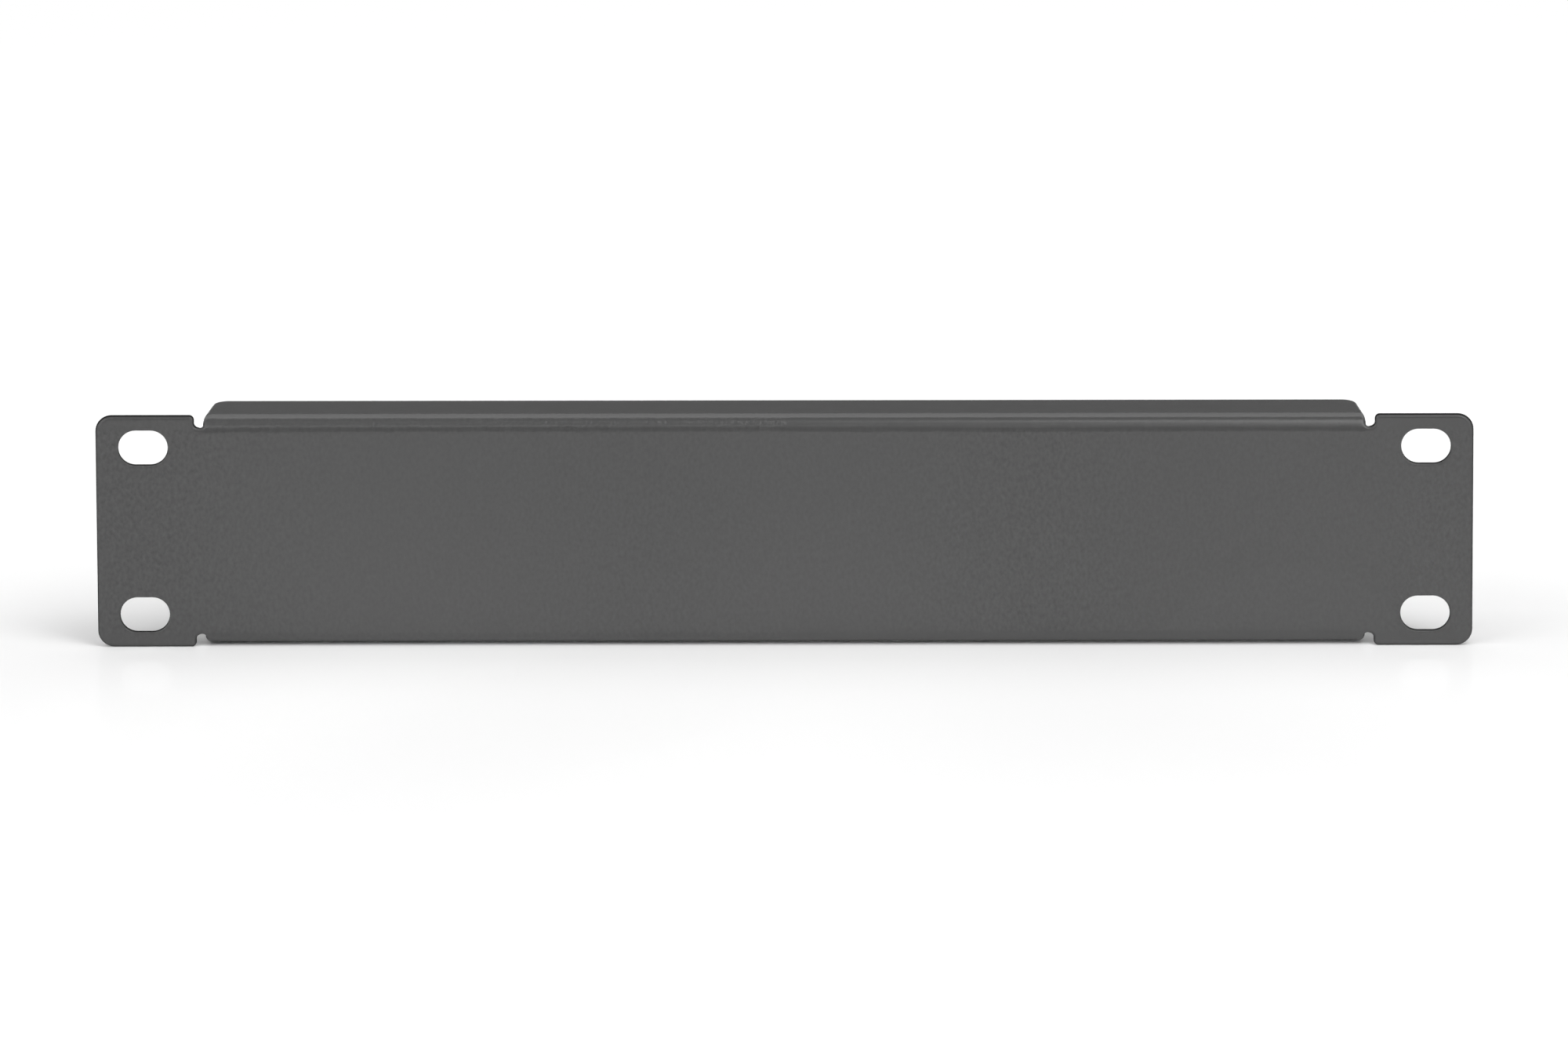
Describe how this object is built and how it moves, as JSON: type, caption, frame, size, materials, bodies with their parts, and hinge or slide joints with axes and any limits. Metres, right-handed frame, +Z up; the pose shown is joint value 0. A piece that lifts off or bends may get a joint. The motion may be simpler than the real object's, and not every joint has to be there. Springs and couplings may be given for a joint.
{
  "type": "rack blanking panel",
  "caption": "Folded sheet-steel blanking panel for a 10 inch rack, one rack unit high, with slotted ears.",
  "frame": {"origin": "centre of the four mounting slots, on the rear of the face, which seats on the rack rails", "axes": "+X along the panel to the right seen from the front, +Y to the rear, +Z up"},
  "size_m": [0.254, 0.0137, 0.044],
  "materials": {
    "powder_coat": "semi-gloss fine orange-peel powder coat"
  },
  "bodies": {
    "root": {"blanking_panel": "powder_coat"}
  },
  "joints": []
}
